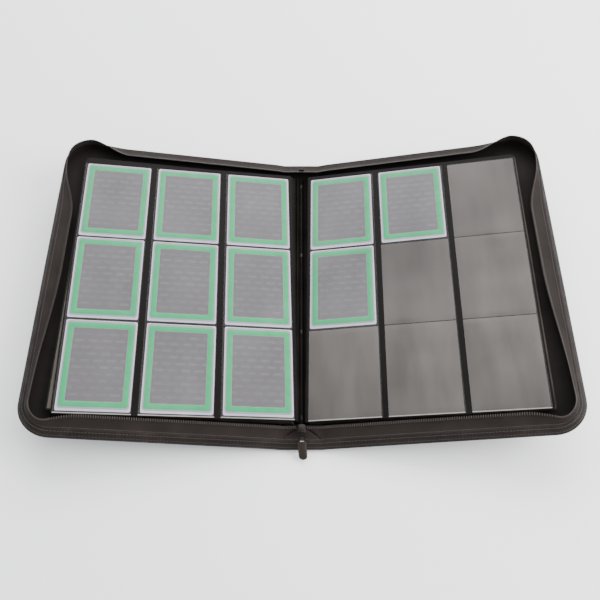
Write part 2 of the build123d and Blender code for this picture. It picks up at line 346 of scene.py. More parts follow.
def leatherette(name, dark, light, worn, roughness=0.52):
    """Fine-grained matt leatherette with rubbed tops and a slow change of tone."""
    m = Nodes(name, dark, roughness, Specular_IOR_Level=0.14)
    where = m.coordinates()
    grain = m.cells(where, 1500.0)
    creases = m.cells(where, 620.0, "DISTANCE_TO_EDGE")
    tone = m.noise(where, 22.0, 4.0)
    rub = m.noise(where, 95.0, 5.0)
    base = m.mixed(m.spread(tone, 0.35, 0.7), dark, light)
    rubbed = m.math("MULTIPLY", m.spread(rub, 0.52, 0.75), 0.35)
    m.set("Base Color", m.mixed(rubbed, base, worn))
    m.set("Roughness", m.ramp(m.noise(where, 60.0, 3.0), (0.3, roughness - 0.07), (0.7, roughness + 0.1)))
    pores = m.spread(creases, 0.0, 0.08)
    m.bump((grain, 0.35, 0.00012), (pores, 0.4, 0.0001), (tone, 0.12, 0.002))
    return m.material


def woven_tape(name, dark, light):
    """Herringbone zipper tape, in the strip's own length and width."""
    m = Nodes(name, dark, 0.72, Specular_IOR_Level=0.12, Sheen_Weight=0.04, Sheen_Roughness=0.5)
    across = m.coordinates("UV")
    warp = m.wave(m.scaled(across, (1.0, 1.0, 1.0), radians(32)), 520.0, "X")
    weft = m.wave(m.scaled(across, (1.0, 1.0, 1.0), radians(-32)), 520.0, "X")
    rib = m.wave(across, 210.0, "Y")
    weave = m.math("MULTIPLY", warp, weft)
    tone = m.noise(m.coordinates(), 40.0, 4.0)
    base = m.mixed(m.spread(tone, 0.3, 0.75), dark, light)
    m.set("Base Color", m.mixed(m.math("MULTIPLY", weave, 0.35), base, shade(light, 2.0)))
    m.bump((weave, 0.5, 0.00015), (rib, 0.15, 0.0001), (tone, 0.15, 0.002))
    return m.material


def lining_cloth(name, dark, light):
    m = Nodes(name, dark, 0.8, Specular_IOR_Level=0.1, Sheen_Weight=0.02)
    where = m.coordinates()
    warp = m.wave(where, 330.0, "X")
    weft = m.wave(where, 330.0, "Y")
    weave = m.math("MULTIPLY", warp, weft)
    tone = m.noise(where, 15.0, 4.0)
    m.set("Base Color", m.mixed(m.spread(tone, 0.35, 0.7), dark, light))
    m.bump((weave, 0.4, 0.00012), (tone, 0.2, 0.003))
    return m.material


def thread(name, color):
    m = Nodes(name, color, 0.6, Sheen_Weight=0.3)
    twist = m.wave(m.scaled(m.coordinates(), (1.0, 1.0, 1.0), radians(40)), 900.0, "X")
    m.set("Base Color", m.mixed(twist, shade(color, 0.6), color))
    m.bump((twist, 0.4, 0.0001))
    return m.material


def coated_metal(name, color, roughness=0.34, metallic=0.85):
    m = Nodes(name, color, roughness, Metallic=metallic, Specular_IOR_Level=0.25)
    where = m.coordinates()
    wear = m.noise(where, 700.0, 5.0, 0.7)
    m.set("Base Color", m.mixed(m.spread(wear, 0.55, 0.7), color, shade(color, 3.0)))
    m.set("Roughness", m.ramp(m.noise(where, 260.0, 4.0), (0.3, roughness - 0.08), (0.7, roughness + 0.15)))
    m.bump((wear, 0.08, 0.00005))
    return m.material


def coil_plastic(name, color):
    m = Nodes(name, color, 0.42)
    tone = m.noise(m.coordinates(), 350.0, 3.0)
    m.set("Base Color", m.mixed(m.spread(tone, 0.35, 0.7), shade(color, 0.6), color))
    m.bump((tone, 0.2, 0.00005))
    return m.material


def backing_sheet(name, dark, light):
    """Black polypropylene with a fine pebble and faint haze."""
    m = Nodes(name, dark, 0.42, Specular_IOR_Level=0.06)
    where = m.coordinates()
    pebble = m.cells(where, 1100.0)
    haze = m.noise(where, 30.0, 5.0)
    m.set("Base Color", m.mixed(m.spread(haze, 0.35, 0.75), dark, light))
    m.set("Roughness", m.ramp(haze, (0.3, 0.38), (0.7, 0.55)))
    m.bump((pebble, 0.25, 0.00008), (haze, 0.1, 0.002))
    return m.material


def clear_film(name, tint, opacity, roughness, streaks=0.12, painted_sheen=0.0):
    """Soft clear film: what is under it shows through. Its tint is the film's milkiness with the glare it
    catches painted in, and its paler and darker pulled bands are painted highlight and shade.
    """
    m = Nodes(name, tint, roughness, Specular_IOR_Level=0.2)
    where = m.coordinates()
    cloud = m.noise(where, 26.0, 4.0)
    pulled = m.noise(m.scaled(where, (34.0, 7.0, 20.0), radians(38)), 1.0, 3.0)
    broad = m.noise(m.scaled(where, (5.0, 9.0, 9.0), radians(-12)), 1.0, 2.0)
    share = m.math("ADD", m.math("MULTIPLY", cloud, 0.3), m.math("MULTIPLY", pulled, 0.7))
    painted_sheen_bands = m.math("ADD", m.math("MULTIPLY", pulled, 0.35), m.math("MULTIPLY", broad, 0.65))
    # Painted highlight and shade: the tint is lightened and darkened in broad pulled bands. The opacity,
    # which sets how much of the tint's painted glare shows, varies in streaks.
    pale = shade(tint, 1 + painted_sheen)
    deep = shade(tint, 1 - 0.45 * painted_sheen)
    m.set("Base Color", m.mixed(m.spread(painted_sheen_bands, 0.36, 0.64), deep, pale))
    m.set("Alpha", m.ramp(share, (0.35, opacity - streaks), (0.7, opacity + streaks)))
    m.set("Roughness", m.ramp(pulled, (0.3, roughness - 0.06), (0.7, roughness + 0.12)))
    m.bump((broad, 0.3, 0.02), (pulled, 0.12, 0.003))
    return m.material


def card_print(name, paper, mark):
    """A frosted placeholder centre with faint staggered dashes, in the card's own width and height."""
    m = Nodes(name, paper, 0.45, Specular_IOR_Level=0.12)
    across = m.coordinates("UV")
    brick = m.add("ShaderNodeTexBrick", offset=0.5, Scale=1.0, Mortar_Size=0.0022, Mortar_Smooth=0.1)
    brick.inputs["Brick Width"].default_value = 0.0125
    brick.inputs["Row Height"].default_value = 0.0068
    brick.inputs["Color1"].default_value = (1, 1, 1, 1)
    brick.inputs["Color2"].default_value = (0.4, 0.4, 0.4, 1)
    brick.inputs["Mortar"].default_value = (0, 0, 0, 1)
    m.link(across, brick.inputs["Vector"])
    frost = m.noise(m.coordinates(), 420.0, 4.0, 0.7)
    cloud = m.noise(m.coordinates(), 24.0, 3.0)
    base = m.mixed(m.spread(cloud, 0.3, 0.75), paper, shade(paper, 1.22))
    dashes = m.math("MULTIPLY", brick.outputs["Color"], 0.13)
    m.set("Base Color", m.mixed(dashes, base, mark))
    m.bump((frost, 0.12, 0.00005))
    return m.material


def printed(name, color, roughness=0.4):
    m = Nodes(name, color, roughness, Specular_IOR_Level=0.12)
    cloud = m.noise(m.coordinates(), 90.0, 4.0)
    m.set("Base Color", m.mixed(m.spread(cloud, 0.3, 0.75), shade(color, 0.82), color))
    m.bump((m.noise(m.coordinates(), 500.0), 0.08, 0.00005))
    return m.material


MATERIALS = {
    "cover": leatherette("cover_leatherette",
                         (0.0045, 0.003, 0.0024), (0.008, 0.0057, 0.0048), (0.018, 0.0135, 0.0115)),
    "band": leatherette("band_leatherette",
                        (0.009, 0.006, 0.0047), (0.016, 0.011, 0.009), (0.036, 0.0275, 0.0235), 0.58),
    # The piping's pale blue-grey is painted reflection: the surroundings mirrored along the rounded outer
    # edge.
    "piping": leatherette("piping_painted_reflection",
                          (0.02, 0.0185, 0.019), (0.032, 0.03, 0.0315), (0.062, 0.058, 0.062), 0.5),
    "lining": lining_cloth("lining_cloth", (0.0052, 0.0038, 0.0034), (0.0105, 0.0078, 0.0072)),
    "tape": woven_tape("zipper_tape_weave", (0.0088, 0.006, 0.005), (0.0165, 0.012, 0.0106)),
    "thread": thread("sewing_thread", (0.019, 0.0145, 0.0115)),
    "teeth": coil_plastic("coil_teeth", (0.062, 0.05, 0.042)),
    "metal": coated_metal("gunmetal", (0.008, 0.0065, 0.0055), 0.42, 0.5),
    "bright": coated_metal("bright_clasp", (0.42, 0.41, 0.4), 0.3, 0.9),
    "rivet": coated_metal("dark_rivet", (0.012, 0.011, 0.01), 0.45, 0.6),
    "pull": leatherette("pull_leatherette",
                        (0.015, 0.0105, 0.0078), (0.023, 0.0168, 0.013), (0.05, 0.039, 0.032), 0.45),
    "sheet": backing_sheet("black_backing", (0.0028, 0.0022, 0.002), (0.0065, 0.0054, 0.0048)),
    # A paler copy of the black backing for the leaves below the second: the light their stacked edges
    # catch, painted in.
    "lit_leaf_edges": backing_sheet("page_edges_painted_light", (0.018, 0.0155, 0.013), (0.055, 0.048, 0.041)),
    # The film tints are the films' slight milkiness with the glare they catch from the surroundings painted
    # in. The stretched film's pale veil over the cards is painted reflection.
    "film": clear_film("pocket_film", (0.098, 0.089, 0.084), 0.6, 0.3, 0.05, 0.5),
    "stretched_film": clear_film("stretched_film", (0.3, 0.29, 0.295), 0.08, 0.26, 0.03, 0.3),
    "fanned_film": clear_film("fanned_film", (0.085, 0.073, 0.062), 0.55, 0.34, 0.05),
    "sleeve": clear_film("sleeve_edge", (0.6, 0.585, 0.66), 0.6, 0.2, 0.15),
    "weld": clear_film("weld_bead", (0.012, 0.01, 0.009), 0.8, 0.3, 0.1),
    # The lowest weld line gets a pale copy of the weld bead: a painted highlight along the pages' lower
    # edge.
    "lit_weld": clear_film("lowest_weld_painted_highlight", (0.34, 0.32, 0.3), 0.7, 0.25, 0.1),
    "centre": card_print("placeholder_centre", (0.083, 0.078, 0.084), (0.26, 0.255, 0.275)),
    "green": printed("placeholder_frame", (0.006, 0.31, 0.105)),
    "paper": printed("placeholder_margin", (0.25, 0.25, 0.31)),
}


# ============ case shell ============
GROOVE_DEPTH, GROOVE_FROM, GROOVE_TO = 1.1, 15.5, 25.0
SEWN_DEPTH, SEWN_INSET, SEWN_WIDTH = 0.45, 7.0, 1.6
ROUND_HEIGHT, ROUND_INSET = 2.2, 3.0
LINING_DIP, DIP_FROM, DIP_TO = 1.5, 16.5, 24.0
# Distances in from the edge at which the shell has points: close together at the sewn line.
EDGE_INSETS = (0.0, 0.35, 0.9, 1.8, 3.0, 5.4, 6.4, 7.0, 7.6, 8.6)
FIELD_INSETS = (14.0, 30.0, 55.0, 80.0, 110.0, 138.0)


def edge_half(x):
    """Half the case's height at a distance from its middle: it falls away at the round corners."""
    corner_x = HINGE_X + COVER_REACH - COVER_CORNER
    past = min(max(abs(x) - corner_x, 0.0), COVER_CORNER)
    return HALF_HEIGHT - COVER_CORNER + sqrt(COVER_CORNER ** 2 - past ** 2)


def shell_outer(x, inset):
    """Height of the case's outside: flat spine, a pressed groove at each hinge, softly padded covers."""
    away = abs(x)
    groove = GROOVE_DEPTH * ease((away - GROOVE_FROM) / 3.5) * (1 - ease((away - GROOVE_TO) / 4.5))
    sewn = SEWN_DEPTH * max(0.0, 1 - abs(inset - SEWN_INSET) / SEWN_WIDTH)
    round_edge = ROUND_HEIGHT * (1 - min(inset, ROUND_INSET) / ROUND_INSET) ** 2
    body = COVER_LOW * ease((away - 18.0) / 12.0)
    return body + groove + sewn + round_edge


def shell_inner(x):
    """Height of the lining: it dips at the hinges."""
    away = abs(x)
    rise = ease((away - DIP_TO) / 5.0)
    dip = LINING_DIP * ease((away - DIP_FROM) / 3.0) * (1 - rise)
    return SPINE_TOP - dip + (COVER_TOP - SPINE_TOP) * rise


def shell_columns(first, last, steps):
    return [first + (last - first) * k / steps for k in range(steps + 1)]


def case_shell(name, columns, body, slot_name, *nodes):
    """One stretch of the case between two x positions, outside and lining in one closed piece."""
    shape = Shape()
    outer_rows, inner_rows = [], []
    for x in columns:
        half = edge_half(x)
        shrink = half / HALF_HEIGHT
        ys = [-half + inset * shrink for inset in EDGE_INSETS + FIELD_INSETS]
        ys += [0.0] + [-y for y in reversed(ys)]
        side_inset = HINGE_X + COVER_REACH - abs(x)
        outer, inner = [], []
        for y in ys:
            inset = min(half - abs(y), side_inset)
            outer.append(shape.point(lay_case(x, y, shell_outer(x, inset)), (x, y)))
            inner.append(shape.point(lay_case(x, y, shell_inner(x)), (x, y)))
        outer_rows.append(outer)
        inner_rows.append(inner)
    shape.grid(outer_rows, 0)
    shape.grid(inner_rows, 1, flip=True)
    for row, other in ((outer_rows[0], inner_rows[0]), (outer_rows[-1], inner_rows[-1])):
        shape.grid([row, other], 0)
    for end in (0, -1):
        shape.grid([[r[end] for r in outer_rows], [r[end] for r in inner_rows]], 0)
    piece = shape.solid(name, MATERIALS["cover"], MATERIALS["lining"])
    return attach(piece, body, slot_name, *nodes)


def cover_columns():
    """From the hinge to the outer edge, closer together round the corner and at the sewn line."""
    corner_x = HINGE_X + COVER_REACH - COVER_CORNER
    far = HINGE_X + COVER_REACH
    plain = shell_columns(HINGE_PART, corner_x, 12)
    curved = [corner_x + COVER_CORNER * sin(pi / 2 * k / 14) for k in range(1, 14)]
    edge = [far - inset for inset in EDGE_INSETS]
    return sorted({round(x, 3) for x in plain + curved + edge})


def build_case():
    case_shell("case_spine", shell_columns(-SPINE_PART, SPINE_PART, 6), "spine", "cover_leather",
               "spine_skin", "spine_lining", "spine_board")
    for side, name in SIDES.items():
        hinge = [side * x for x in shell_columns(SPINE_PART, HINGE_PART, 30)]
        case_shell(f"{name}_case_hinge", hinge, ("spine", side), "cover_leather")
        cover = case_shell(f"{name}_case_cover", [side * x for x in cover_columns()], f"{name}_cover",
                           "cover_leather", f"{name}_cover_skin", f"{name}_cover_board",
                           f"{name}_cover_foam", f"{name}_cover_lining")


# ============ zip edge ============
def lean_shapes(distance, end):
    """(rise, reach) of the band and the tape at a distance along half the edge."""
    stand, sink, lean = (ease((distance - HINGE_X - start) / (stop - start))
                         for start, stop in (STAND_UP[end], SINK[end], LEAN_IN[end]))
    shapes = []
    for run, corner, side in (BAND_SHAPES, TAPE_SHAPES):
        upright = mix(run, corner[end], stand)
        shapes.append((mix(upright, side, sink)[0], mix(upright, side, lean)[1]))
    return shapes


EDGE_LENGTH = HINGE_X + COVER_REACH - COVER_CORNER + COVER_CORNER * pi / 2 + HALF_HEIGHT - COVER_CORNER


def half_of(distance):
    """Which half of the edge a distance round it falls on, and how far from the spine's middle."""
    return (-1, distance) if distance <= EDGE_LENGTH else (1, 2 * EDGE_LENGTH - distance)


def edge_place(distance, side):
    """A point of the case's edge and its inward direction.

    The edge runs from the spine's middle out along the lower edge, round the outer
    side and back along the upper edge to the spine's middle.
    """
    end, along = half_of(distance)
    run = HINGE_X + COVER_REACH - COVER_CORNER
    bend_y = HALF_HEIGHT - COVER_CORNER
    arc = COVER_CORNER * pi / 2
    if along <= run:
        return side * along, end * HALF_HEIGHT, 0.0, -end
    if along <= run + arc:
        turn = (along - run) / COVER_CORNER
        x = run + COVER_CORNER * sin(turn)
        y = bend_y + COVER_CORNER * cos(turn)
        return side * x, end * y, -side * sin(turn), -end * cos(turn)
    return side * (HINGE_X + COVER_REACH), end * (bend_y - (along - run - arc)), -side, 0.0


def edge_base(x):
    """Height that the zip edge stands on."""
    return SPINE_TOP + (COVER_TOP - SPINE_TOP) * ease((abs(x) - 16.0) / 12.0)


def tape_fold(along, across, end):
    """Depth of the two arched folds in the tape beside the slider."""
    share = (along - FOLD_FROM) / (FOLD_TO - FOLD_FROM)
    if end > 0 or not 0 <= share <= 1:
        return 0.0
    centre = FOLD_HIGH - (FOLD_HIGH - FOLD_LOW) * share ** 1.7
    fade = sin(pi * min(1.0, share * 1.15)) ** 0.4 if share < 0.87 else 0.6
    return FOLD_DEPTH * fade * exp(-((across - centre) * TAPE_WIDTH / FOLD_WIDTH) ** 2)


def edge_point(distance, side, strip, across, depth=0.0):
    """A point of the flat case's zip edge.

    strip is band or tape, across goes from 0 at its foot to 1 at its top, and
    depth is how far inwards of its outer face the point lies.
    """
    x, y, nx, ny = edge_place(distance, side)
    end, along = half_of(distance)
    band, tape = lean_shapes(along, end)
    base = edge_base(x)
    if strip == "band":
        bulge = 0.7 * sin(pi * across)
        slope = hypot(*band)
        rise = across * band[0] + 0.6 * bulge * band[1] / slope
        reach = across * band[1] - bulge * band[0] / slope
        return x + nx * (reach + depth), y + ny * (reach + depth), base + rise
    slope = hypot(*tape)
    sag = 0.9 * sin(pi * across) * ease((tape[1] - 3.0) / 8.0) + tape_fold(along, across, end)
    calm = ease((along - HINGE_PART) / 40.0)
    ripple = calm * 0.5 * noise.noise((distance * 0.045, side * 3.1, 0.0)) * sin(pi * across / 2)
    reach = band[1] + TAPE_INSET + across * tape[1] + depth * tape[0] / slope
    rise = band[0] + across * tape[0] - sag * tape[1] / slope + ripple - depth * tape[1] / slope
    return x + nx * reach, y + ny * reach, base + rise


def edge_stretches(side):
    """The lengths of the edge that ride on the spine, across a hinge and on the cover."""
    whole = 2 * EDGE_LENGTH
    yield "lower_spine", "spine", 0.0, SPINE_PART
    yield "lower_hinge", ("spine", side), SPINE_PART, HINGE_PART
    yield "cover", f"{SIDES[side]}_cover", HINGE_PART, whole - HINGE_PART
    yield "upper_hinge", ("spine", side), whole - HINGE_PART, whole - SPINE_PART
    yield "upper_spine", "spine", whole - SPINE_PART, whole


def edge_rows(shape, start, stop, step, section):
    """A closed strip through the sections that section(distance) gives."""
    count = max(2, round((stop - start) / step))
    rows = []
    for k in range(count + 1):
        distance = start + (stop - start) * k / count
        rows.append([shape.point(lay_case(*place), uv) for place, uv in section(distance)])
    shape.capped(rows)


def strip_piece(name, side, start, stop, strip, thickness, step, material):
    """A thin strip of band or tape, following the edge."""
    if strip == "band":
        profile = [(k / 6, 0.0) for k in range(7)] + [(1.03, thickness / 2)]
        profile += [(k / 6, thickness) for k in range(6, -1, -1)]
    else:
        count = 20 if stop - start < 2 * HINGE_PART else 8
        profile = [(k / count, 0.0) for k in range(count + 1)]
        profile += [(k / count, thickness) for k in range(count, -1, -1)]

    def section(distance):
        for across, depth in profile:
            yield edge_point(distance, side, strip, across, depth), (distance, across * TAPE_WIDTH)

    shape = Shape()
    edge_rows(shape, start, stop, step, section)
    return shape.solid(name, material)


def piping_piece(name, side, start, stop, step):
    """The corded line that finishes the cover's outer edge; its pale blue-grey leatherette is the
    reflection of the surroundings along that edge, painted in.
    """
    def section(distance):
        x, y, nx, ny = edge_place(distance, side)
        centre_z = edge_base(x) - 0.9
        for j in range(8):
            angle = tau * j / 8
            away = 0.1 + 0.85 * cos(angle)
            yield (x - nx * away, y - ny * away, centre_z + 0.85 * sin(angle)), (distance, 5.0 * j / 8)

    shape = Shape()
    edge_rows(shape, start, stop, step, section)
    return shape.solid(name, MATERIALS["piping"])


def add_capsule(shape, first, second, radius, normal, sides=6, flat=0.6):
    """A short rounded bar from one point to another, such as a stitch."""
    a, b, n = Vector(first), Vector(second), Vector(normal).normalized()
    along = (b - a).normalized()
    across = along.cross(n).normalized()
    rows = []
    for share, size in ((0.0, 0.35), (0.14, 0.85), (0.5, 1.0), (0.86, 0.85), (1.0, 0.35)):
        centre = a.lerp(b, share)
        ring = []
        for k in range(sides):
            angle = tau * k / sides
            offset = across * (radius * size * cos(angle)) + n * (radius * flat * size * sin(angle))
            ring.append(shape.point(centre + offset))
        rows.append(ring)
    shape.capped(rows, flip=True)


def stitch_line(shape, side, start, stop, strip, across, pitch, length, radius):
    """Sewn stitches along a strip at one height across it."""
    def laid(distance, up, depth=0.0):
        return Vector(lay_case(*edge_point(distance, side, strip, up, depth)))

    count = round((stop - start) / pitch)
    for k in range(count):
        middle = start + (k + 0.5) * (stop - start) / count
        here, there = laid(middle - length / 2, across), laid(middle + length / 2, across)
        slope = laid(middle, min(1.0, across + 0.1)) - laid(middle, max(0.0, across - 0.1))
        out = (there - here).cross(slope).normalized()
        inward = laid(middle, across, 1.0) - (here + there) / 2
        out = -out if out.dot(inward) > 0 else out
        add_capsule(shape, here + out * radius * 0.3, there + out * radius * 0.3, radius, out)


def teeth_line(shape, side, start, stop):
    """Coil teeth: small rounded loops standing out of the tape's free edge."""
    def laid(distance, up, depth=0.0):
        return Vector(lay_case(*edge_point(distance, side, "tape", up, depth)))

    count = round((stop - start) / TEETH_PITCH)
    for k in range(count):
        middle = start + (k + 0.5) * (stop - start) / count
        root, tip = laid(middle, 0.86, -0.3), laid(middle + 0.2, 1.08, -0.1)
        normal = (laid(middle + 1.0, 1.0) - laid(middle - 1.0, 1.0)).cross(tip - root)
        add_capsule(shape, root, tip, 0.42, normal, sides=6, flat=1.1)


EDGE_NODES = {"band": "edge_band", "tape": "zipper_tape", "teeth": "zipper_teeth", "piping": "edge_piping"}
SPINE_NODES = {"band": "spine_edge_band", "tape": "spine_zipper_tape"}


def edge_nodes(side, strip, stretch):
    """The CAD nodes that a stretch of the zip edge stands for: named once for each node."""
    if stretch == "cover":
        return [f"{SIDES[side]}_{EDGE_NODES[strip]}"]
    if stretch == "lower_spine" and side < 0 and strip in SPINE_NODES:
        return [SPINE_NODES[strip]]
    return []


def build_edge():
    for side, name in SIDES.items():
        for stretch, body, start, stop in edge_stretches(side):
            label = f"{name}_{stretch}"
            fine = 3.0 if stretch == "cover" else 1.0
            band = strip_piece(f"{label}_band", side, start, stop, "band", 1.6, fine, MATERIALS["band"])
            attach(band, body, "cover_leather", *edge_nodes(side, "band", stretch))
            tape = strip_piece(f"{label}_tape", side, start, stop, "tape", 0.55, 0.8 * fine,
                               MATERIALS["tape"])
            attach(tape, body, "zipper_tape", *edge_nodes(side, "tape", stretch))
            piping = piping_piece(f"{label}_piping", side, start, stop, 1.2 * fine)
            attach(piping, body, "piping", *edge_nodes(side, "piping", stretch))
            stitches = Shape()
            for across in (0.24, 0.8):
                stitch_line(stitches, side, start, stop, "band", across, 3.0, 1.9, 0.27)
            stitch_line(stitches, side, start, stop, "tape", 0.1, 2.6, 1.6, 0.22)
            attach(stitches.make(f"{label}_stitches", MATERIALS["thread"]), body, "cover_leather")
            teeth = Shape()
            teeth_line(teeth, side, max(start, TEETH_FROM), stop)
            attach(teeth.make(f"{label}_teeth", MATERIALS["teeth"]), body, "zipper_teeth",
                   *edge_nodes(side, "teeth", stretch))


# ============ pages ============
def cells():
    """Row from the top, column from the spine, and the pocket's spine-side lower corner."""
    for row in range(GRID):
        for column in range(GRID):
            low = POCKETS_LOW + CELL[1] * (GRID - 1 - row)
            yield row, column, POCKETS_START + column * (CELL[0] + STRIP), low


def film_height(u, v, row, column, full, seed):
    """How far a pocket's front film stands off the backing, u and v from 0 to 1 across the cell."""
    edge_u, edge_v = min(1.0, (1 - u) / 0.035), min(1.0, min(v, 1 - v) / 0.022)
    mouth = 0.35 + 0.65 * min(1.0, u / 0.05)
    welded = min(edge_u, edge_v)
    welded = welded * welded * (3 - 2 * welded)
    spot = (seed + row * 5.1, column * 3.7, seed * 0.3)
    folds = noise.noise((u * 2.6 + v * 1.4 + spot[0], v * 1.9 - u * 1.2 + spot[1], spot[2]))
    fine = noise.noise((u * 6.0 - v * 4.0 + spot[1], v * 3.0 + u * 3.0 + spot[0], spot[2]))
    if full:
        return welded * (0.62 + 0.1 * folds + 0.04 * fine) * mouth
    return welded * (0.42 + 0.4 * folds + 0.14 * fine) * mouth


def pocket_films(name, body, place, top, direction, full, nodes, seed, finish="film"):
    """The nine films on one face of a leaf, each welded on three sides of its cell."""
    shape = Shape()
    nu, nv = FILM_STEPS
    for row, column, x0, y0 in cells():
        rows = []
        for j in range(nv + 1):
            line = []
            for i in range(nu + 1):
                u, v = i / nu, j / nv
                height = film_height(u, v, row, column, (row, column) in full, seed) + 0.04
                where = place(x0 + u * CELL[0], y0 + v * CELL[1], top + direction * height)
                line.append(shape.point(where, (x0 + u * CELL[0], y0 + v * CELL[1])))
            rows.append(line)
        shape.grid(rows, 1 if (row, column) in full else 0)
    piece = shape.make(name, MATERIALS[finish], MATERIALS["stretched_film"])
    return attach(piece, body, "pocket_film", *nodes)


def weld_lines(name, body, place, top, direction):
    """Raised weld beads along the rows and the closed sides of the pockets; the lowest row takes the pale
    bead, a painted highlight.
    """
    shape = Shape()
    half, rise = WELD_HALF, WELD_RISE * direction

    def bead(first, second, across, slot=0):
        rows = []
        for share in range(13):
            x, y = mix(first, second, share / 12)
            ring = []
            for away, height in ((-half, 0.0), (-half * 0.5, rise), (half * 0.5, rise), (half, 0.0)):
                where = place(x + across[0] * away, y + across[1] * away, top + height)
                ring.append(shape.point(where, (x, y)))
            rows.append(ring)
        shape.grid(rows, slot)

    for row in range(GRID + 1):
        y = POCKETS_LOW + row * CELL[1]
        for column in range(GRID):
            x = POCKETS_START + column * (CELL[0] + STRIP)
            # The lowest row takes the pale bead material, a painted highlight.
            bead((x, y), (x + CELL[0], y), (0, 1), 0 if row else 1)
    for column in range(GRID):
        x = POCKETS_START + column * (CELL[0] + STRIP) + CELL[0]
        bead((x, POCKETS_LOW), (x, POCKETS_LOW + GRID * CELL[1]), (1, 0))
    return attach(shape.make(name, MATERIALS["weld"], MATERIALS["lit_weld"]), body, "page_backing")


def rounded_outline(width, height, radius, steps=5):
    """Points round a rectangle with round corners, centred on zero."""
    points = []
    for quarter, (sx, sy) in enumerate(((1, 1), (-1, 1), (-1, -1), (1, -1))):
        for k in range(steps + 1):
            angle = pi / 2 * (quarter + k / steps)
            points.append((sx * (width / 2 - radius) + radius * cos(angle),
                           sy * (height / 2 - radius) + radius * sin(angle)))
    return points


# Card and sleeve outlines are (width, height, corner radius).
CARD_FOOT = (63.0, 88.0, 3.0)
# Each ring up from the foot: outline, height, and the material slot of the faces up to it.
CARD_RINGS = (
    (CARD_FOOT, 0.3, 1),
    ((61.4, 85.0, 2.4), 0.31, 1),
    ((61.2, 84.8, 2.4), 0.35, 2),
    ((51.4, 74.8, 1.6), 0.35, 2),
    ((51.2, 74.6, 1.6), 0.31, 2),
    ((50.8, 74.2, 1.4), 0.31, 1),
)
SLEEVE_OUTER, SLEEVE_INNER = (66.2, 91.6, 1.6), (63.4, 88.4, 3.0)
SLEEVE_DROP = -0.6
# Each ring round the sleeve's rim: outline, height, and shift along the card.
SLEEVE_RINGS = (
    (SLEEVE_OUTER, 0.0, SLEEVE_DROP),
    (SLEEVE_OUTER, 0.2, SLEEVE_DROP),
    (SLEEVE_INNER, 0.42, 0.0),
    (SLEEVE_INNER, 0.02, 0.0),
)
CARD_MATERIALS = ("centre", "paper", "green", "sleeve")


def card(name, side, body, place, centre, base, tilt, nodes):
    """A placeholder card in its sleeve: printed centre, green frame, pale margin, clear sleeve rim."""
    shape = Shape()
    turn = radians(tilt)

    def put(x, y, height):
        cx = centre[0] + side * (x * cos(turn) - y * sin(turn))
        cy = centre[1] + x * sin(turn) + y * cos(turn)
        return shape.point(place(cx, cy, base + height), (x, y))

    def loop(outline, level, shift=0.0):
        return [put(x, y + shift, level) for x, y in rounded_outline(*outline)]

    below = loop(CARD_FOOT, 0.0)
    shape.face(reversed(below), 1)
    for outline, level, slot in CARD_RINGS:
        above = loop(outline, level)
        shape.grid([below, above], slot, ring=True)
        below = above
    shape.face(below, 0)
    rim = [loop(*ring) for ring in SLEEVE_RINGS]
    shape.grid(rim + rim[:1], 3, ring=True)
    piece = shape.solid(name, *(MATERIALS[label] for label in CARD_MATERIALS), smooth=False)
    return attach(piece, body, "sleeved_card", *nodes)


CARD_ROWS = ("upper", "middle", "lower")


def build_cards(side, body, place):
    name = SIDES[side]
    for row, column, x0, y0 in cells():
        if (row, column) not in FULL_POCKETS[side]:
            continue
        wobble = noise.noise((row * 1.7 + side, column * 2.3, 4.2))
        centre = (x0 + CELL[0] / 2 - 0.5 + 0.5 * wobble, y0 + CELL[1] / 2 + 1.3 + 0.4 * wobble)
        nodes = [f"{name}_{CARD_ROWS[row]}_cards"] if column == 0 else []
        card(f"{name}_card_{CARD_ROWS[row]}_{column + 1}", side, body, place, centre,
             STACK_TOP + 0.02, 0.35 * wobble, nodes)


def tint_node(node, material):
    """Give a carried-over CAD node its node-based material."""
    slots = frame["nodes"][node].data.materials
    if not slots:
        slots.append(MATERIALS[material])
    for index in range(len(slots)):
        slots[index] = MATERIALS[material]


def build_pages():
    for side, name in SIDES.items():
        body = f"{name}_top_leaf"
        place = lay_page(side, TOP_SKEW[side], 0.0, TOP_RAISE[side])
        build_cards(side, body, place)
        pocket_films(f"{name}_front_films", body, place, STACK_TOP, 1, FULL_POCKETS[side],
                     [f"{name}_front_pockets"], 1.3 + side)
        pocket_films(f"{name}_back_films", body, place, STACK_TOP - 0.15, -0.4, set(),
                     [f"{name}_back_pockets"], 5.3 + side)
        weld_lines(f"{name}_weld_lines", body, place, STACK_TOP, 1)
        second = lay_page(side, FAN_SKEW[side], FAN_SHIFT[side], 0.0)
        second_top = STACK_TOP - LEAF_PITCH - 0.05
        pocket_films(f"{name}_second_films", f"{name}_pages", second, second_top, 0.35, set(),
                     [], 9.1 + side, "fanned_film")
        tint_node(f"{name}_top_leaf_sheet", "sheet")
        for number in range(2, 11):
            # Leaves below the second take the paler backing copy: painted light on their edges.
            tint_node(f"{name}_leaf_{number}", "lit_leaf_edges" if number > 2 else "sheet")


# ============ binding ============
MARGIN_STEPS = 24


def margin_heights(inset):
    """Places from the lower to the upper end of a margin that starts this far in from the page's end."""
    low = PAGE_BOTTOM + inset
    length = 2 * -PAGE_BOTTOM - 2 * inset
    return [low + length * step / MARGIN_STEPS for step in range(MARGIN_STEPS + 1)]


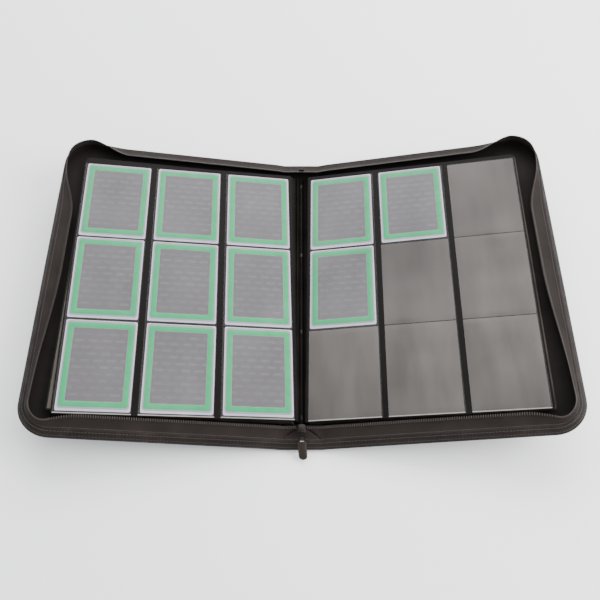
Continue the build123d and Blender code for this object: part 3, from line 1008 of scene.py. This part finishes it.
def margin_bundle(side):
    """The leaves' flexible inner margins, gathered into the binding strip."""
    shape = Shape()
    name = SIDES[side]
    leaf = lay_page(side)
    rows = []
    for step, y in enumerate(margin_heights(1.5)):
        top_end = leaf(PAGE_START + 0.8, y, STACK_TOP - 0.75)
        low_end = leaf(PAGE_START + 0.8, y, -1.0)
        crest = Vector((side * 1.6, y, STRIP_TOP + 1.7 + 0.25 * sin(step * 0.9)))
        foot = Vector((side * 0.9, y, STRIP_TOP + 0.05))
        heel = Vector((side * 3.4, y, STRIP_TOP + 0.05))
        section = [Vector(top_end), Vector(top_end).lerp(crest, 0.4) + Vector((0, 0, 0.7)),
                   Vector(top_end).lerp(crest, 0.75) + Vector((0, 0, 0.35)), crest, foot, heel,
                   heel.lerp(Vector(low_end), 0.5), Vector(low_end)]
        rows.append([shape.point(p, (p[0], p[1])) for p in section])
    shape.capped(rows)
    piece = shape.solid(f"{name}_page_margins", MATERIALS["sheet"])
    end = leaf(PAGE_START + 0.3, 0, 2.0)
    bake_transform(piece)


def top_margin(side):
    """The top leaf's own margin, curling down the spine side of the stack."""
    shape = Shape()
    name = SIDES[side]
    leaf = lay_page(side, TOP_SKEW[side], 0.0, TOP_RAISE[side])
    stack = lay_page(side)
    rows = []
    for y in margin_heights(1.0):
        outer = Vector(leaf(PAGE_START + 1.6, y, STACK_TOP + 0.05))
        edge = Vector(leaf(PAGE_START - 0.6, y, STACK_TOP - 0.15))
        root = Vector(stack(PAGE_START - 0.2, y, 1.2))
        middle = edge.lerp(root, 0.5) + Vector((-side * 0.5, 0, 0.2))
        line = [outer, edge, middle, root]
        inward = Vector((side * 0.3, 0, -0.2))
        section = line + [p + inward for p in reversed(line)]
        rows.append([shape.point(p, (p[0], p[1])) for p in section])
    shape.capped(rows)
    piece = shape.solid(f"{name}_top_margin", MATERIALS["sheet"])
    root, edge = stack(PAGE_START - 0.2, 0, 1.6), stack(PAGE_START, 0, STACK_TOP - 0.5)
    tuple(c * MM for c in root)
    tuple(c * MM for c in edge)
    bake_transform(piece)


def build_binding():
    for side in SIDES:
        margin_bundle(side)
        top_margin(side)
    tint_node("page_binding_strip", "lining")
    tint_node("binding_rivets", "rivet")
    tint_node("zipper_end_stop", "metal")


# ============ slider and pull ============
def rounded_block(name, low, high, radius, material, taper=0.0):
    """A block with soft edges, optionally narrower towards its front (-Y)."""
    shape = Shape()
    x0, y0, z0 = low
    x1, y1, z1 = high
    rows = []
    outline = rounded_outline(x1 - x0, y1 - y0, radius, 6)
    middle = ((x0 + x1) / 2, (y0 + y1) / 2)
    soft = min(radius, z1 - z0) * 0.4
    sections = [(z0, soft), (z0 + soft * 0.4, soft * 0.25), (z0 + soft, 0.0), (z1 - soft, 0.0),
                (z1 - soft * 0.4, soft * 0.25), (z1, soft)]
    for z, inset in sections:
        ring = []
        shrink_x = 1 - 2 * inset / (x1 - x0)
        shrink_y = 1 - 2 * inset / (y1 - y0)
        for x, y in outline:
            narrow = 1 - taper * (0.5 - y / (y1 - y0))
            place = (middle[0] + x * shrink_x * narrow, middle[1] + y * shrink_y, z)
            ring.append(shape.point(place, (x, y)))
        rows.append(ring)
    shape.capped(rows, flip=True)
    return shape.solid(name, material)


def tube(name, route, radius, material, sides=10, closed=False):
    """A round wire along a route."""
    shape = Shape()
    rows = []
    count = len(route)
    for k in range(count):
        here = Vector(route[k])
        before = Vector(route[k - 1]) if (k > 0 or closed) else here
        after = Vector(route[(k + 1) % count]) if (k < count - 1 or closed) else here
        along = (after - before).normalized()
        side = along.orthogonal() if abs(along.x) > 0.99 else Vector((1, 0, 0)).cross(along)
        side = side.normalized()
        up = along.cross(side)
        angles = [tau * j / sides for j in range(sides)]
        rows.append([shape.point(here + side * radius * cos(a) + up * radius * sin(a)) for a in angles])
    if closed:
        rows.append(rows[0])
    shape.grid(rows, ring=True)
    if not closed:
        shape.face(rows[0])
        shape.face(reversed(rows[-1]))
    return shape.solid(name, material)


def join(name, *pieces):
    """Several solids as one piece."""
    with bpy.context.temp_override(active_object=pieces[0], selected_editable_objects=list(pieces)):
        bpy.ops.object.join()
    pieces[0].name = name
    return pieces[0]


PULL_Y = JOINTS["pull_swing"]["pos_m"][1] / MM
PULL_Z = JOINTS["pull_swing"]["pos_m"][2] / MM
PULL_PITCH = radians(41.0)
PULL_EYE = 6.5
TAB_SKEW = 0.075
TAB_START, TAB_LENGTH, TAB_HALF = 5.2, 27.4, 4.1
TAB_STEPS = 24
# Half of the tab's section, as (share of its half width, height); the other half mirrors it.
TAB_SECTION = ((-1.0, 0.0), (-0.93, 0.62), (-0.7, 0.9), (0.0, 0.98), (0.7, 0.9), (0.93, 0.62))


def hang(x, along, height, skew=0.0):
    """From the pull's own frame to where it hangs: along runs down the tab from its hinge."""
    y = PULL_Y - along * cos(PULL_PITCH) - height * sin(PULL_PITCH)
    z = PULL_Z - along * sin(PULL_PITCH) + height * cos(PULL_PITCH)
    return x + skew * max(0.0, along - PULL_EYE), y, z


def build_slider():
    low, high = (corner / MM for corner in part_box("zipper_slider"))
    metal = MATERIALS["metal"]
    body_top = low.z + 3.2
    base_y = high.y
    base = rounded_block("slider_base", (low.x, base_y - 9.0, low.z), (high.x, base_y, low.z + 1.1),
                         2.0, metal, 0.12)
    cap = rounded_block("slider_cap", (low.x + 0.5, base_y - 8.8, low.z + 1.8),
                        (high.x - 0.5, base_y - 0.2, body_top), 2.2, metal, 0.16)
    neck = rounded_block("slider_neck", (-1.6, base_y - 3.0, low.z + 0.9),
                         (1.6, base_y - 0.8, low.z + 2.0), 0.7, metal)
    angles = [pi * k / 12 for k in range(13)]
    arch = [(0, PULL_Y + 1.8 * cos(a), PULL_Z - 0.5 + 1.9 * sin(a)) for a in angles]
    arch = [(0, PULL_Y + 1.8, body_top - 0.4)] + arch + [(0, PULL_Y - 1.8, body_top - 0.4)]
    bridge = tube("slider_bridge", arch, 0.55, metal)
    slider = join("slider", base, cap, neck, bridge)
    attach(slider, "spine", "dark_metal", "zipper_slider")


def tab_bow(along):
    """How far the tab bows off its straight line."""
    return 0.5 * sin(pi * (along - TAB_START) / (TAB_LENGTH - TAB_START))


def pull_link():
    corners = [(3.0, 0.0), (3.0, 7.0), (-3.0, 7.0), (-3.0, 0.0)]
    route = []
    for here, there in zip(corners, corners[1:] + corners[:1]):
        route += [mix(here, there, share) for share in (0.1, 0.35, 0.65, 0.9)]
    wire = [hang(x, y, 0.0) for x, y in route]
    link = tube("pull_wire", wire, 0.55, MATERIALS["metal"], closed=True)
    attach(link, "pull", "dark_metal", "pull_link")


def pull_strap():
    """The soft tab: a narrow neck through the wire, and a round lower end."""
    shape = Shape()
    rows = []
    section = TAB_SECTION + tuple((-share, -height) for share, height in TAB_SECTION)
    for k in range(TAB_STEPS + 1):
        along = TAB_START + (TAB_LENGTH - TAB_START) * k / TAB_STEPS
        neck = 0.42 + 0.58 * ease((along - 7.4) / 2.6)
        past = max(0.0, (along - (TAB_LENGTH - TAB_HALF)) / TAB_HALF)
        tail = sqrt(max(0.0, 1 - past ** 2))
        width = max(0.35, TAB_HALF * neck * max(tail, 0.05))
        bow = 0.5 * sin(pi * k / TAB_STEPS)
        puff = (1.0 if along > 8.5 else 0.85) * min(1.0, 0.25 + width / 2)
        ring = []
        for share, height in section:
            place = hang(share * width, along, height * puff + bow, TAB_SKEW)
            ring.append(shape.point(place, (share * width, along)))
        rows.append(ring)
    shape.capped(rows)
    tab = shape.solid("pull_strap", MATERIALS["pull"])
    attach(tab, "pull", "pull_leather", "pull_tab")


def pull_details():
    """Stitches down both sides of the tab, and the clasp at its neck."""
    stitches = Shape()
    normal = Vector(hang(0, 0, 1)) - Vector(hang(0, 0, 0))
    for side in (-1, 1):
        for k in range(8):
            along = 10.2 + 1.7 * k
            height = 0.86 + tab_bow(along)
            first = hang(side * 3.1, along, height, TAB_SKEW)
            second = hang(side * 3.1, along + 1.1, height, TAB_SKEW)
            add_capsule(stitches, first, second, 0.2, normal)
    clamp = [hang(x, 8.6, 1.15, TAB_SKEW) for x in (-1.7, -0.8, 0.0, 0.8, 1.7)]
    clasp = tube("pull_clasp", clamp, 0.4, MATERIALS["bright"])
    attach(stitches.make("pull_stitches", MATERIALS["thread"]), "pull", "pull_leather")
    attach(clasp, "pull", "dark_metal")


def build_pull():
    pull_link()
    pull_strap()
    pull_details()


# ============ camera and light ============
CAMERA_PLACE = (-0.0015, -0.3857, 0.6784)
CAMERA_DOWN = radians(60.78)
FLOOR_HALF = 6.0


def build_camera():
    data = bpy.data.cameras.new("camera")
    data.lens = 45.0
    data.sensor_width = 36.0
    camera = bpy.data.objects.new("camera", data)
    camera.location = CAMERA_PLACE
    camera.rotation_euler = (pi / 2 - CAMERA_DOWN, 0, 0)
    bpy.context.scene.collection.objects.link(camera)
    bpy.context.scene.camera = camera


def area_light(name, place, target, size, power):
    data = bpy.data.lights.new(name, "AREA")
    data.shape = "RECTANGLE"
    data.size, data.size_y = size
    data.energy = power
    light = bpy.data.objects.new(name, data)
    light.location = place
    light.rotation_euler = (Vector(target) - Vector(place)).to_track_quat("-Z", "Y").to_euler()
    bpy.context.scene.collection.objects.link(light)


def build_stage():
    half = FLOOR_HALF / MM
    corners = [(-half, -half, -0.2), (half, -half, -0.2), (half, half, -0.2), (-half, half, -0.2)]
    paper = Nodes("floor_paper", (0.96, 0.96, 0.96), 0.8, Specular_IOR_Level=0.1)
    add_mesh("floor", corners, [(0, 1, 2, 3)], [paper.material])
    world = bpy.data.worlds.new("studio")
    world.use_nodes = True
    background = world.node_tree.nodes["Background"]
    background.inputs["Color"].default_value = (0.95, 0.97, 1.0, 1.0)
    background.inputs["Strength"].default_value = 1.25
    bpy.context.scene.world = world
    middle = (0.0, 0.0, 0.03)
    area_light("back_softbox", (0.1, 1.05, 1.15), middle, (1.7, 1.0), 36.0)
    area_light("right_softbox", (1.2, -0.1, 0.9), middle, (1.0, 1.0), 36.0)


build_camera()
build_stage()
build_case()
build_edge()
build_pages()
build_binding()
build_slider()
build_pull()
